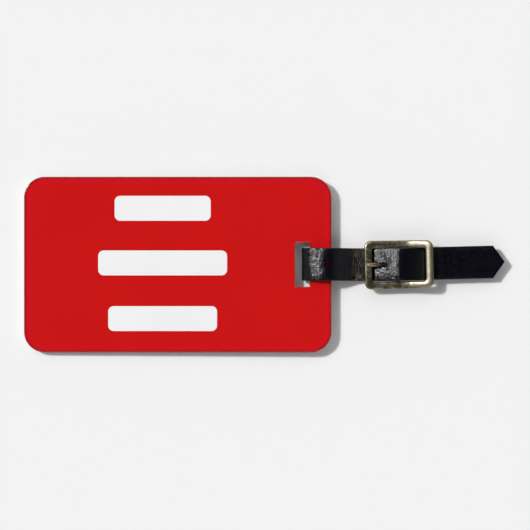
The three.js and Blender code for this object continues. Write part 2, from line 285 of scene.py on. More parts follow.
def card(name, color):
    """Uncoated card: short pale fibres over a soft, matt sheet."""
    made, n = material(name)
    place = n.place()
    fibres = n.noise(n.stretched(place, (1.0, 5.0, 1.0)), 2.2, detail=5.0, roughness=0.7)
    paler = tuple(min(1.0, c * 1.05) for c in color[:3]) + (1.0,)
    shader = n.add("ShaderNodeBsdfPrincipled", {
        "Base Color": n.blend(n.spread(fibres, 0.35, 0.65), color, paler),
        "Roughness": n.spread(fibres, 0.3, 0.7, 0.72, 0.86),
        "Normal": n.bump(fibres, 0.02, 0.5),
    })
    n.finish(shader.outputs[0])
    return made


def core_plastic():
    """The tag's white core, with faint saw lines along its edge."""
    made, n = material("white_core")
    lines = n.noise(n.stretched(n.place(), (3.0, 3.0, 0.2)), 2.0, detail=4.0, roughness=0.6)
    shader = n.add("ShaderNodeBsdfPrincipled", {
        "Base Color": n.blend(lines, (0.74, 0.73, 0.70, 1), (0.82, 0.81, 0.78, 1)),
        "Roughness": n.spread(lines, 0.3, 0.7, 0.4, 0.55),
        "Normal": n.bump(lines, 0.02, 0.5),
    })
    n.finish(shader.outputs[0])
    return made


def leather_grain():
    """Black finished leather: pebbled grain, fine pores, and creases where it bends at the buckle, whose
    tops are painted tan, partly as wear and partly as painted highlight."""
    made, n = material("black_leather_grain")
    place = n.rest_place()
    slanted = n.add("ShaderNodeVectorRotate", {"Vector": place, "Angle": math.radians(38)},
                    rotation_type="Z_AXIS").outputs[0]
    drawn = n.stretched(slanted, (1.0, 1.3, 1.0))
    pebbles = n.cells(drawn, 2.05, feature="SMOOTH_F1", smoothness=0.12)
    pores = n.cells(place, 4.6)
    fine = n.noise(place, 9.0, detail=3.0, roughness=0.6)

    # The creases lie across the top layer, where it dips before the buckle.
    x = n.axis(place, "X")
    bend = n.math("MULTIPLY", n.spread(x, 24.0, 27.6), n.spread(x, 29.5, 31.5, 1.0, 0.0))
    top_layer = n.spread(n.axis(place, "Z"), 1.4, 1.9)
    ridges = n.noise(n.stretched(place, (3.6, 0.5, 1.0)), 1.0, detail=4.0, roughness=0.7)
    creases = n.math("MULTIPLY", n.math("MULTIPLY", bend, top_layer), n.spread(ridges, 0.42, 0.62))

    # Tan specks on the crease tops: wear, and a painted highlight where they would catch the light.
    wear_and_highlight_specks = n.noise(n.stretched(place, (1.8, 0.8, 1.0)), 2.4, detail=3.0)
    worn = n.math("MULTIPLY", creases, n.spread(wear_and_highlight_specks, 0.47, 0.6))
    dye = n.spread(n.noise(place, 1.3, detail=2.0), 0.3, 0.7)
    black = n.blend(dye, (0.0006, 0.0008, 0.0030, 1), (0.0010, 0.0012, 0.0036, 1))
    color = n.blend(worn, black, (0.22, 0.17, 0.12, 1))

    grain = n.bump(pebbles, 0.074)
    grain = n.bump(pores, 0.006, 1.0, grain)
    grain = n.bump(fine, 0.0015, 1.0, grain)
    grain = n.bump(creases, 0.1, 1.0, grain)
    shader = n.add("ShaderNodeBsdfPrincipled", {
        "Base Color": color,
        "Roughness": n.spread(fine, 0.3, 0.7, 0.13, 0.19),
        "Specular IOR Level": 0.34,
        "Normal": grain,
    })
    n.finish(shader.outputs[0])
    return made


def leather_edge():
    """The strap's cut edge: dyed and burnished, with the leather's layers along it."""
    made, n = material("black_leather_edge")
    place = n.rest_place()
    layers = n.noise(n.stretched(place, (0.5, 0.5, 9.0)), 1.5, detail=4.0, roughness=0.65)
    worn = n.spread(layers, 0.4, 0.7)
    shader = n.add("ShaderNodeBsdfPrincipled", {
        "Base Color": n.blend(worn, (0.010, 0.010, 0.012, 1), (0.055, 0.052, 0.054, 1)),
        "Roughness": n.spread(layers, 0.3, 0.7, 0.36, 0.5),
        "Normal": n.bump(layers, 0.04, 0.7),
    })
    n.finish(shader.outputs[0])
    return made


def leather_flesh():
    """The strap's flesh side: dyed nap with short fibres, matt."""
    made, n = material("black_leather_flesh")
    place = n.rest_place()
    nap = n.noise(place, 4.0, detail=6.0, roughness=0.75, distortion=0.6)
    raised = n.spread(nap, 0.35, 0.7)
    shader = n.add("ShaderNodeBsdfPrincipled", {
        "Base Color": n.blend(raised, (0.010, 0.0095, 0.0095, 1), (0.045, 0.040, 0.037, 1)),
        "Roughness": 0.92,
        "Sheen Weight": 0.25,
        "Sheen Roughness": 0.5,
        "Normal": n.bump(nap, 0.12, 0.8),
    })
    n.finish(shader.outputs[0])
    return made


def thread():
    made, n = material("black_thread")
    fibres = n.noise(n.stretched(n.place(), (9.0, 3.0, 3.0)), 3.0, detail=3.0)
    shader = n.add("ShaderNodeBsdfPrincipled", {
        "Base Color": n.blend(fibres, (0.006, 0.006, 0.007, 1), (0.03, 0.03, 0.032, 1)),
        "Roughness": 0.7,
        "Sheen Weight": 0.3,
        "Normal": n.bump(fibres, 0.03, 0.6),
    })
    n.finish(shader.outputs[0])
    return made


# The buckle's right end, painted bare and lighter as its painted highlight and as the strap's rubbing,
# from the first bare brass to the last tarnish.
HIGHLIGHT_AND_RUB_START_X = 41.0
HIGHLIGHT_AND_RUB_X = 46.0


def antique_brass(name, clean, tarnish, roughness):
    """Cast brass that was darkened and worn by rubbing: brown-green tarnish in patches, bare metal on
    the edges, and lighter bare metal at the right end, which is painted highlight as well as the strap's
    rubbing."""
    made, n = material(name)
    place = n.place()
    clouds = n.noise(place, 0.55, detail=5.0, roughness=0.6, distortion=0.5)
    specks = n.noise(place, 3.2, detail=4.0, roughness=0.65)
    patches = n.math("ADD", n.math("MULTIPLY", clouds, 0.7), n.math("MULTIPLY", specks, 0.3))
    edges = n.spread(n.add("ShaderNodeNewGeometry").outputs["Pointiness"], 0.50, 0.56, 0.0, 0.8)
    # Painted highlight at the right end, with the strap's rubbing: the brass there is lighter and bare.
    right_end_highlight_and_rub = n.spread(n.axis(place, "X"), HIGHLIGHT_AND_RUB_START_X, HIGHLIGHT_AND_RUB_X, 0.0, 0.85)
    edge_wear_and_painted_highlight = n.math("MAXIMUM", right_end_highlight_and_rub, edges)
    bare = n.math("MAXIMUM", n.spread(patches, 0.42, 0.62), edge_wear_and_painted_highlight)
    greenish = n.spread(n.noise(place, 0.9, detail=3.0), 0.45, 0.65)
    dark = n.blend(greenish, tarnish, (tarnish[0] * 0.75, tarnish[1] * 0.95, tarnish[2] * 0.85, 1))
    dents = n.noise(place, 1.1, detail=2.0)
    shader = n.add("ShaderNodeBsdfPrincipled", {
        "Base Color": n.blend(bare, dark, clean),
        "Metallic": 1.0,
        "Roughness": n.spread(patches, 0.35, 0.7, roughness + 0.03, roughness - 0.02),
        "Normal": n.bump(specks, 0.006, 1.0, n.bump(dents, 0.012)),
    })
    n.finish(shader.outputs[0])
    return made


def pin_steel():
    made, n = material("pin_steel")
    turned = n.noise(n.stretched(n.place(), (0.6, 14.0, 0.6)), 2.0, detail=3.0)
    shader = n.add("ShaderNodeBsdfPrincipled", {
        "Base Color": n.blend(turned, (0.30, 0.29, 0.27, 1), (0.42, 0.41, 0.38, 1)),
        "Metallic": 1.0,
        "Roughness": n.spread(turned, 0.3, 0.7, 0.3, 0.42),
        "Normal": n.bump(turned, 0.01, 0.5),
    })
    n.finish(shader.outputs[0])
    return made


def table_top():
    made, n = material("table_top")
    tooth = n.noise(n.place(), 0.8, detail=2.0)
    shader = n.add("ShaderNodeBsdfPrincipled", {
        "Base Color": grey(0.8), "Roughness": 0.95, "Specular IOR Level": 0.0,
        "Normal": n.bump(tooth, 0.003, 0.2),
    })
    n.finish(shader.outputs[0])
    return made


# ------------------------------------------------------------ mesh helpers


def make_object(name, mesh, *materials):
    piece = bpy.data.objects.new(name, mesh)
    for each in materials:
        mesh.materials.append(each)
    bpy.context.scene.collection.objects.link(piece)
    return piece


def mesh_from(name, points, faces, slots=None):
    """A closed mesh in millimetres with its faces pointing out."""
    mesh = bpy.data.meshes.new(name)
    mesh.from_pydata([tuple(p) for p in points], [], faces)
    if slots:
        mesh.polygons.foreach_set("material_index", slots)
    mesh.update()
    edit = bmesh.new()
    edit.from_mesh(mesh)
    bmesh.ops.recalc_face_normals(edit, faces=edit.faces)
    edit.to_mesh(mesh)
    edit.free()
    return mesh


def apply_modifiers(piece):
    """Replaces the piece's mesh with what its modifiers make of it."""
    graph = bpy.context.evaluated_depsgraph_get()
    mesh = bpy.data.meshes.new_from_object(piece.evaluated_get(graph))
    piece.modifiers.clear()
    piece.data = mesh


def to_metres(piece, sharp_angle=35.0):
    piece.data.transform(Matrix.Scale(MM, 4))
    piece.data.shade_smooth()
    piece.data.set_sharp_from_angle(angle=math.radians(sharp_angle))
    return piece


def keep_rest_place(piece):
    """Stores each point's place in millimetres, for the finish of a piece that bends."""
    stored = piece.data.attributes.new(REST_PLACE, "FLOAT_VECTOR", "POINT")
    stored.data.foreach_set("vector", [c / MM for vertex in piece.data.vertices for c in vertex.co])


def bridge(rings, closed=False):
    """Faces that join each ring of point numbers to the next."""
    faces = []
    count = len(rings[0])
    pairs = list(zip(rings, rings[1:])) + ([(rings[-1], rings[0])] if closed else [])
    for a, b in pairs:
        for i in range(count):
            j = (i + 1) % count
            faces.append((a[i], a[j], b[j], b[i]))
    return faces


def rounded_ring(x0, x1, half0, half1, radius, steps, side_steps=1):
    """Points round a four-sided outline with round corners. half0 and half1 are its half widths at x0
    and x1, and each side is divided into side_steps."""
    corners = [Vector((x1, half1)), Vector((x0, half0)), Vector((x0, -half0)), Vector((x1, -half1))]
    ring = []
    for i, corner in enumerate(corners):
        before = (corners[i - 1] - corner).normalized()
        after = (corners[(i + 1) % 4] - corner).normalized()
        centre = corner + (before + after) * radius
        for k in range(steps + 1):
            turn = k / steps * math.pi / 2
            ring.append(centre - after * radius * math.cos(turn) - before * radius * math.sin(turn))
        end = ring[-1]
        following = corners[(i + 1) % 4] - after * radius
        ring += [end.lerp(following, k / side_steps) for k in range(1, side_steps)]
    return ring


def remeshed(piece, size, smoothing):
    """Joins the piece's closed shells into one skin, with soft fillets where they met."""
    remesh = piece.modifiers.new("join", "REMESH")
    remesh.mode = "VOXEL"
    remesh.voxel_size = size
    smooth = piece.modifiers.new("soften", "SMOOTH")
    smooth.iterations = smoothing
    smooth.factor = 0.5
    apply_modifiers(piece)


# ------------------------------------------------------------ curves


def catmull_rom(points, per_span):
    """The centripetal Catmull-Rom curve that the CAD strap follows, sampled per_span times a span."""
    points = [Vector(p) for p in points]
    padded = [2 * points[0] - points[1], *points, 2 * points[-1] - points[-2]]
    samples = []
    for i in range(1, len(padded) - 2):
        p0, p1, p2, p3 = padded[i - 1:i + 3]
        d0, d1, d2 = ((b - a).length ** 0.5 for a, b in ((p0, p1), (p1, p2), (p2, p3)))
        t1 = ((p1 - p0) / d0 - (p2 - p0) / (d0 + d1) + (p2 - p1) / d1) * d1
        t2 = ((p2 - p1) / d1 - (p3 - p1) / (d1 + d2) + (p3 - p2) / d2) * d1
        c2 = 3 * (p2 - p1) - 2 * t1 - t2
        c3 = 2 * (p1 - p2) + t1 + t2
        for k in range(per_span):
            t = k / per_span
            samples.append(p1 + t1 * t + c2 * t * t + c3 * t ** 3)
    samples.append(points[-1])
    return samples


ROUTE_STEPS = 8  # samples to each span of a route


def arc(x, z, radius, start, end, steps, thickness=STRAP_THICKNESS):
    """Points on an arc of the strap's middle, by angle in degrees from +X towards +Z."""
    turns = [math.radians(start + (end - start) * i / steps) for i in range(steps + 1)]
    return [(x + radius * math.cos(a), z + radius * math.sin(a), thickness) for a in turns]


# The middle of the leather as x, z and thickness, from the folded tab to the pointed end.
STRAP_ROUTE = [
    (44.4, 1.6, SKIVED_THICKNESS),
    (STITCH_X, 1.77, SKIVED_THICKNESS),
    (41.0, 1.95, SKIVED_THICKNESS),
    *arc(PIN_X, PIN_Z, FOLD_RADIUS, 270, 90, 6, SKIVED_THICKNESS),
    (40.3, 4.1, 0.8),
    (41.8, 3.3, 0.95),
    (STITCH_X, 2.7, STRAP_THICKNESS),
    (44.6, 2.38, STRAP_THICKNESS),
    (46.4, 1.8, STRAP_THICKNESS),
    (49.0, 1.65, STRAP_THICKNESS),
    (57.0, 1.7, STRAP_THICKNESS),
    *arc(63.2, 1.3, 0.8, 90, -90, 6),
    (61.0, ON_TABLE, STRAP_THICKNESS),
    (43.0, ON_TABLE, STRAP_THICKNESS),
    (25.6, ON_TABLE, STRAP_THICKNESS),
    (23.1, ON_TABLE, STRAP_THICKNESS),
    (20.6, ON_TABLE, STRAP_THICKNESS),
    (15.6, ON_TABLE, STRAP_THICKNESS),
    *arc(13.2, 2.4, 1.9, 270, 180, 4),
    (11.5, 3.4, STRAP_THICKNESS),
    (12.0, 4.04, STRAP_THICKNESS),
    (12.9, 4.7, STRAP_THICKNESS),
    (13.7, 5.12, STRAP_THICKNESS),
    (14.6, 5.5, STRAP_THICKNESS),
    (15.6, 5.83, STRAP_THICKNESS),
    (16.7, 6.1, STRAP_THICKNESS),
    (17.7, 6.23, STRAP_THICKNESS),
    (18.5, 6.24, STRAP_THICKNESS),
    (19.4, 6.04, STRAP_THICKNESS),
    (20.6, 5.46, STRAP_THICKNESS),
    (23.1, 3.95, STRAP_THICKNESS),
    (25.6, 2.45, STRAP_THICKNESS),
    (27.5, 1.95, STRAP_THICKNESS),
    (29.4, 1.9, STRAP_THICKNESS),
    (30.9, 2.1, STRAP_THICKNESS),
    (32.5, 2.74, STRAP_THICKNESS),
    (35.1, 3.88, STRAP_THICKNESS),
    (37.4, 4.88, STRAP_THICKNESS),
    (38.5, 5.28, STRAP_THICKNESS),
    (39.4, 5.42, STRAP_THICKNESS),
    (41.2, 5.15, STRAP_THICKNESS),
    (STITCH_X, 4.48, STRAP_THICKNESS),
    (45.1, 3.74, STRAP_THICKNESS),
    (46.6, 3.42, STRAP_THICKNESS),
    (48.2, 3.34, STRAP_THICKNESS),
    (50.3, 3.34, STRAP_THICKNESS),
    (55.0, 3.24, STRAP_THICKNESS),
    (61.0, 3.2, STRAP_THICKNESS),
    (HALF_LENGTH, 3.2, STRAP_THICKNESS),
]
TAIL_START_X = 47.7

# How far the strap lies to +Y, at its pointed end and in the tag's slot. It lies straight in between.
TAIL_DRIFT = 0.85
TAIL_DRIFT_START_X = 38.0
SLOT_DRIFT = 0.1
SLOT_DRIFT_START_X = 19.0
SLOT_DRIFT_END_X = 27.0

SPARE_HOLE_Y = 0.3
# In the looks the prong's hole is this much longer than in the CAD, and its middle this far to +X.
PRONG_HOLE_EXTRA = 0.6
PRONG_HOLE_SHIFT = 0.2

# ------------------------------------------------------------ tag


SLOT_BEVEL = 0.3


def tag_place():
    """Where the tag's own millimetres lie in the frame: tilted, with its slot end raised."""
    return Matrix.Translation((TAG_LEFT_X, 0, 0)) @ Matrix.Rotation(-TAG_TILT, 4, "Y")


def tag_rings(inset):
    """The outlines of the tag and of its slot, the tag's that far inside its edge and the slot's as far
    outside its own, up to its narrower bevel."""
    outer = rounded_ring(inset, TAG_LENGTH - inset, TAG_WIDTH / 2 - inset, TAG_WIDTH / 2 - inset,
                         TAG_CORNER - inset, 20)
    slot_end = TAG_LENGTH - SLOT_BRIDGE
    slot_inset = min(inset, SLOT_BEVEL)
    half = SLOT_LENGTH / 2 + slot_inset
    slot = rounded_ring(slot_end - SLOT_WIDTH - slot_inset, slot_end + slot_inset, half, half,
                        SLOT_CORNER + slot_inset, 6)
    return outer, slot


# The cover's edge as (inset, drop below the outside face): a small round, then a shallow rim bevel.
COVER_EDGE = [(2.3, 0.0), (2.1, 0.0), (1.5, 0.015), (0.9, 0.05), (0.3, 0.09), (0.16, 0.13), (0.06, 0.2),
              (0.0, 0.3)]


def cover(name, level, outside_up, skin):
    """A clear plate with a slot, its outside edges rounded and its inside face flat."""
    edit = bmesh.new()
    heights = [(inset, COVER_THICKNESS - drop) for inset, drop in COVER_EDGE] + [(0.0, 0.0)]
    walls = []
    for which in (0, 1):
        rings = []
        for inset, height in heights:
            z = level + (height if outside_up else COVER_THICKNESS - height)
            rings.append([edit.verts.new((p.x, p.y, z)) for p in tag_rings(inset)[which]])
        for face in bridge(rings):
            edit.faces.new(face)
        walls.append(rings)
    for end in (0, -1):
        edges = []
        for rings in walls:
            ring = rings[end]
            pairs = zip(ring, ring[1:] + ring[:1])
            edges += [edit.edges.get(pair) or edit.edges.new(pair) for pair in pairs]
        bmesh.ops.triangle_fill(edit, use_beauty=True, edges=edges)
    bmesh.ops.remove_doubles(edit, verts=edit.verts, dist=1e-4)
    bmesh.ops.recalc_face_normals(edit, faces=edit.faces)
    mesh = bpy.data.meshes.new(name)
    edit.to_mesh(mesh)
    edit.free()
    mesh.transform(tag_place())
    piece = make_object(name, mesh, skin)
    to_metres(piece, sharp_angle=30.0)
    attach(piece, "tag")
    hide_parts(name)
    return piece


def flat_shapes(name, rings, bottom, top, skin):
    """Thin flat shapes printed on one of the tag's sheets, each a closed plate."""
    points, faces = [], []
    for ring in rings:
        count, first = len(ring), len(points)
        points += [(p.x, p.y, bottom) for p in ring] + [(p.x, p.y, top) for p in ring]
        lower = list(range(first, first + count))
        upper = list(range(first + count, first + 2 * count))
        faces += bridge([lower, upper]) + [lower[::-1], upper]
    mesh = mesh_from(name, points, faces)
    mesh.transform(tag_place())
    piece = make_object(name, mesh, skin)
    to_metres(piece)
    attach(piece, "tag")
    return piece


def bar(x0, x1, y, height, radius):
    """A bar with round corners, as one ring of points about the height y."""
    return [p + Vector((0, y)) for p in rounded_ring(x0, x1, height / 2, height / 2, radius, 10)]


# The white bars on the front, in the tag's own x and y: their middle's x, and each one's y and length.
BAR_HEIGHT = 7.2
BAR_CORNER = 1.6
BAR_X = 40.1
BAR_PLACES = [(16.3, 27.8), (0.5, 37.3), (-15.6, 31.5)]

# The ruled lines on the back card, from their start to their end in x, and each one's y.
RULE_WIDTH = 0.3
RULE_CORNER = 0.12
RULE_START, RULE_END = 12.0, 70.0
RULE_PLACES = [13.0, 4.5, -4.0, -12.5]

INK_THICKNESS = 0.012
INK_GAP = 0.004  # between the ink's solid and the sheet that it is printed on


def make_tag():
    acrylic = clear_acrylic()
    print_level = COVER_THICKNESS + PRINT_THICKNESS + CORE_THICKNESS + 3 * PLATE_GAP
    ink_level = print_level + PRINT_THICKNESS + INK_GAP
    card_level = COVER_THICKNESS + PLATE_GAP - INK_GAP
    cover("back_cover", 0.0, False, acrylic)
    cover("front_cover", print_level + PRINT_THICKNESS + PLATE_GAP, True, acrylic)

    white = printed("white_ink", (0.84, 0.84, 0.84, 1), (0.86, 0.86, 0.86, 1))
    bars = [bar(BAR_X - length / 2, BAR_X + length / 2, y, BAR_HEIGHT, BAR_CORNER)
            for y, length in BAR_PLACES]
    flat_shapes("print_bars", bars, ink_level, ink_level + INK_THICKNESS, white)

    rule_ink = printed("rule_ink", (0.12, 0.12, 0.13, 1), (0.16, 0.16, 0.17, 1))
    rules = [bar(RULE_START, RULE_END, y, RULE_WIDTH, RULE_CORNER) for y in RULE_PLACES]
    flat_shapes("card_rules", rules, card_level - INK_THICKNESS, card_level, rule_ink)

    # The red print gets painted rim shade and a painted rim highlight along its edge.
    finishes = {
        "front_print": printed("red_print", (0.552, 0.0050, 0.0050, 1), (0.568, 0.0056, 0.0052, 1),
                               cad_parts["front_print"]),
        "back_id_card": card("white_card", (0.80, 0.79, 0.76, 1)),
        "core_plate": core_plastic(),
    }
    for name, finish in finishes.items():
        refinish(name, finish)


def refinish(name, finish):
    """Gives a CAD node that keeps its shape a finish of its own."""
    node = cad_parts[name]
    node.data.materials.clear()
    node.data.materials.append(finish)


# ------------------------------------------------------------ strap

# The strap's section has round edges. Each face of the swept skin is grain, cut edge or flesh by where
# it lies on this section, and these are their material slots.
EDGE_ROUND = 0.26
EDGE_LIMIT = 0.45  # the most that the round may be, as a share of the thickness
EDGE_STEPS = 5
SIDE_STEPS = 5
GRAIN, EDGE, FLESH = 0, 1, 2

# Heights that the cuts go between.
ABOVE_TABLE_LAYER = 1.2
ABOVE_ALL = 9.0
NOTCH_BOTTOM = 1.15
NOTCH_TOP = 4.82
CUTTER_MARGIN = 5  # how far the cuts at the point reach past the leather


def strap_section(thickness, width):
    """Points round the section as (across, up), the same number for any thickness."""
    radius = min(EDGE_ROUND, thickness * EDGE_LIMIT)
    ring = rounded_ring(-width / 2, width / 2, thickness / 2, thickness / 2, radius, EDGE_STEPS,
                        SIDE_STEPS)
    return [(p.x, p.y) for p in ring]


def face_kind(a, b, thickness):
    """The material slot of the face between two points of the section."""
    up = (a[1] + b[1]) / 2
    if up > thickness / 2 - EDGE_ROUND * 0.7:
        return GRAIN
    return EDGE if up > -thickness / 2 + EDGE_ROUND * 0.3 else FLESH


def swept_strap(name, stretch, skins):
    """The strap's skin along a stretch of its route, with a cap at each end."""
    points, rings = [], []
    last = len(stretch) - 1
    for i, (x, z, thickness) in enumerate(stretch):
        before, after = stretch[max(i - 1, 0)], stretch[min(i + 1, last)]
        along = Vector((after[0] - before[0], after[1] - before[1])).normalized()
        z = max(z, thickness / 2)
        ring = []
        for across, up in strap_section(thickness, STRAP_WIDTH):
            ring.append(len(points))
            points.append((x - along.y * up, across + drift(x), z + along.x * up))
        rings.append(ring)
    faces = bridge(rings)
    section = strap_section(STRAP_THICKNESS, STRAP_WIDTH)
    count = len(section)
    kinds = [face_kind(section[i % count], section[(i + 1) % count], STRAP_THICKNESS)
             for i in range(len(faces))]
    faces += [rings[0][::-1], rings[-1]]
    kinds += [EDGE, EDGE]
    return make_object(name, mesh_from(name, points, faces, kinds), *skins)


def cutter(name, outline, bottom, top, skin):
    """A block that cuts a hole with that outline, whose wall gets that skin."""
    count = len(outline)
    points = [(p[0], p[1], bottom) for p in outline] + [(p[0], p[1], top) for p in outline]
    lower, upper = list(range(count)), list(range(count, 2 * count))
    faces = bridge([lower, upper]) + [lower[::-1], upper]
    return make_object(name, mesh_from(name, points, faces), skin)


def cut(piece, tools):
    """Cuts the tools out of the piece, one after another, and deletes them."""
    for tool in tools:
        modifier = piece.modifiers.new("cut", "BOOLEAN")
        modifier.operation = "DIFFERENCE"
        modifier.solver = "EXACT"
        modifier.material_mode = "TRANSFER"
        modifier.object = tool
    apply_modifiers(piece)
    for tool in tools:
        bpy.data.objects.remove(tool)


def strap_hole(x, y, length=HOLE_DIAMETER, steps=14):
    """The outline of a punched hole, round or lengthened along the strap."""
    half = (length - HOLE_DIAMETER) / 2
    outline = []
    for side in (1, -1):
        for k in range(steps + 1):
            turn = math.pi * (k / steps - 0.5)
            outline.append((x + side * (half + HOLE_DIAMETER / 2 * math.cos(turn)),
                            y + side * HOLE_DIAMETER / 2 * math.sin(turn)))
    if half == 0:
        outline = outline[:steps] + outline[steps + 1:-1]
    return outline


def drift(x):
    """How far the strap lies to +Y at x."""
    tail = max(0.0, (x - TAIL_DRIFT_START_X) / (HALF_LENGTH - TAIL_DRIFT_START_X))
    slot = (SLOT_DRIFT_END_X - x) / (SLOT_DRIFT_END_X - SLOT_DRIFT_START_X)
    slot = min(max(0.0, slot), 1.0)
    return TAIL_DRIFT * tail ** 0.85 + SLOT_DRIFT * slot ** 2 * (3 - 2 * slot)


def make_strap():
    skins = [leather_grain(), leather_edge(), leather_flesh()]
    samples = catmull_rom(STRAP_ROUTE, ROUTE_STEPS)
    parting = len(samples) - 1
    while samples[parting][0] > TAIL_START_X:
        parting -= 1
    make_strap_body(samples[:parting + 1], skins)
    make_strap_tail(samples[parting:], skins)


def make_strap_body(stretch, skins):
    """The strap from its folded end to the buckle's right bar, with its holes and the fold's notch."""
    strap = swept_strap("strap", stretch, skins)
    hole_side = skins[EDGE]
    spare = strap_hole(SPARE_HOLE_X, SPARE_HOLE_Y)
    prong = strap_hole(PRONG_HOLE_X + PRONG_HOLE_SHIFT, 0.0, PRONG_HOLE_LENGTH + PRONG_HOLE_EXTRA)
    notch_start, half_notch = PIN_X - 2, NOTCH_WIDTH / 2
    notch = [(notch_start, half_notch), (notch_start, -half_notch),
             (NOTCH_END_X, -half_notch), (NOTCH_END_X, half_notch)]
    above_tag = TAG_THICKNESS + SLOT_LIFT
    cut(strap, [
        cutter("spare_hole", spare, above_tag, ABOVE_ALL, hole_side),
        cutter("prong_hole", prong, ABOVE_TABLE_LAYER, ABOVE_ALL, hole_side),
        cutter("notch", notch, NOTCH_BOTTOM, NOTCH_TOP, hole_side),
    ])
    to_metres(strap)
    keep_rest_place(strap)
    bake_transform(strap)
    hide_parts("strap_slot_bend", "strap_flex_upper", "strap_flex_lower", "strap_loop",
                "strap_free_run")


def make_strap_tail(stretch, skins):
    """The strap's free end, cut to a point."""
    tail_piece = swept_strap("strap_tail", stretch, skins)
    shoulder = HALF_LENGTH - TAIL_POINT
    half = STRAP_WIDTH / 2
    tip_y = drift(HALF_LENGTH)
    beyond_x, beyond_y = HALF_LENGTH + CUTTER_MARGIN, half + CUTTER_MARGIN
    for side in (1, -1):
        corner = [(shoulder, side * half + drift(shoulder)), (HALF_LENGTH, tip_y), (beyond_x, tip_y),
                  (beyond_x, side * beyond_y), (shoulder, side * beyond_y)]
        cut(tail_piece, [cutter("point", corner, 0, ABOVE_ALL, skins[EDGE])])
    to_metres(tail_piece)
    keep_rest_place(tail_piece)
    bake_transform(tail_piece)
    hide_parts("strap_tail")


# Each stitch is two plies wound round a loop.
STITCH_CORNER = 0.32
STITCH_STEPS = 220
STITCH_TWISTS = 22
PLY_RADIUS = 0.085
PLY_REACH = 0.07
PLY_SIDES = 8


def make_stitches():
    """Three loops of two-ply thread that close the strap's fold."""
    skin = thread()
    middle = (STITCH_TOP + STITCH_BOTTOM) / 2
    height = (STITCH_TOP - STITCH_BOTTOM) / 2 - THREAD / 2
    half = (STITCH_LENGTH - THREAD) / 2
    for number in (1, 2, 3):
        y = (number - 2) * STITCH_PITCH
        outline = rounded_ring(y - half, y + half, height, height, STITCH_CORNER, 6)
        loop = even_loop(outline, STITCH_STEPS)
        points, faces = [], []
        for strand in (0, 1):
            ply_shell(points, faces, loop, strand / 2, middle)
        name = f"stitch_{number}"
        piece = make_object(name, mesh_from(name, points, faces), skin)
        to_metres(piece, sharp_angle=80.0)
        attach(piece, "strap")
        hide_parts(name)


def ply_shell(points, faces, loop, share, level):
    """One ply wound round the loop, which stands at that level. It starts at that share of a turn."""
    rings = []
    for i, at in enumerate(loop):
        along = (loop[(i + 1) % STITCH_STEPS] - loop[i - 1]).normalized()
        out = Vector((along.y, -along.x))
        phase = 2 * math.pi * (STITCH_TWISTS * i / STITCH_STEPS + share)
        centre_out, centre_x = PLY_REACH * math.cos(phase), PLY_REACH * math.sin(phase)
        ring = []
        for k in range(PLY_SIDES):
            turn = 2 * math.pi * k / PLY_SIDES
            away = centre_out + PLY_RADIUS * math.cos(turn)
            ring.append(len(points))
            points.append((STITCH_X + centre_x + PLY_RADIUS * math.sin(turn), at.x + out.x * away,
                           level + at.y + out.y * away))
        rings.append(ring)
    faces += bridge(rings, closed=True)


def even_loop(ring, steps):
    """The ring's outline, divided into steps equal lengths."""
    lengths = [0.0]
    for a, b in zip(ring, ring[1:] + ring[:1]):
        lengths.append(lengths[-1] + (b - a).length)
    loop, k = [], 0
    for i in range(steps):
        wanted = lengths[-1] * i / steps
        while lengths[k + 1] < wanted:
            k += 1
        share = (wanted - lengths[k]) / (lengths[k + 1] - lengths[k])
        loop.append(ring[k].lerp(ring[(k + 1) % len(ring)], share))
    return loop


# ------------------------------------------------------------ buckle

FRAME_CORNER = 1.9
CAST_INSET = 0.2  # how far the left bar's outer edge lies inside the CAD frame's
OPENING_CORNER = 0.8
SECTION_POWER = 4.0  # of the bars' section: 2 is an ellipse, more is squarer
RIDGE_DROP = 0.2  # how far the right bar's outer top edge falls below the line of its inner half
RIDGE_ACROSS = 0.48  # where that fall starts, as a share of the way in from the bar's outer edge
FRAME_TURN = math.radians(1.2)  # how far the frame is turned on the table, about the pin's middle
LUG_INSIDE_SETBACK = 0.05  # of the lugs' side faces behind the frame's
LUG_OUTSIDE_SETBACK = 0.15


def frame_underside(x):
    """Height of the frame's underside, which bends up past the pin."""
    past = max(x - FRAME_BEND_X, 0.0)
    bent = min(past, FRAME_BEND_LENGTH)
    return FRAME_UNDERSIDE + FRAME_SLOPE * (bent ** 2 / (2 * FRAME_BEND_LENGTH) + past - bent)


def power(value, exponent):
    """The power of the value's size, with its sign."""
    return math.copysign(abs(value) ** exponent, value)


def frame_shell(points, faces):
    """The four bars as one ring with a soft section."""
    sides, corner_steps, side_steps = 28, 14, 30
    outer = rounded_ring(FRAME_LEFT_X + CAST_INSET, FRAME_RIGHT_X, FRAME_LEFT_WIDTH / 2,
                         FRAME_RIGHT_WIDTH / 2, FRAME_CORNER, corner_steps, side_steps)
    inner = rounded_ring(FRAME_LEFT_X + LEFT_BAR - CAST_INSET / 2, FRAME_RIGHT_X - RIGHT_BAR,
                         OPENING_WIDTH / 2, OPENING_WIDTH / 2, OPENING_CORNER, corner_steps, side_steps)
    rings = []
    for a, b in zip(outer, inner):
        ring = []
        rightward = (a.x - FRAME_BEND_X) / (FRAME_RIGHT_X - RIGHT_BAR - FRAME_BEND_X)
        rightward = min(max(rightward, 0.0), 1.0)
        for k in range(sides):
            turn = 2 * math.pi * k / sides
            across = 0.5 - 0.5 * power(math.cos(turn), 2 / SECTION_POWER)
            up = 0.5 + 0.5 * power(math.sin(turn), 2 / SECTION_POWER)
            outward = max(0.0, RIDGE_ACROSS - across) / RIDGE_ACROSS
            fall = RIDGE_DROP * rightward ** 3 * outward ** 1.3 * max(0.0, 2 * up - 1)
            at = a.lerp(b, across)
            ring.append(len(points))
            points.append((at.x, at.y, frame_underside(at.x) + FRAME_THICKNESS * up - fall))
        rings.append(ring)
    faces += bridge(rings, closed=True)


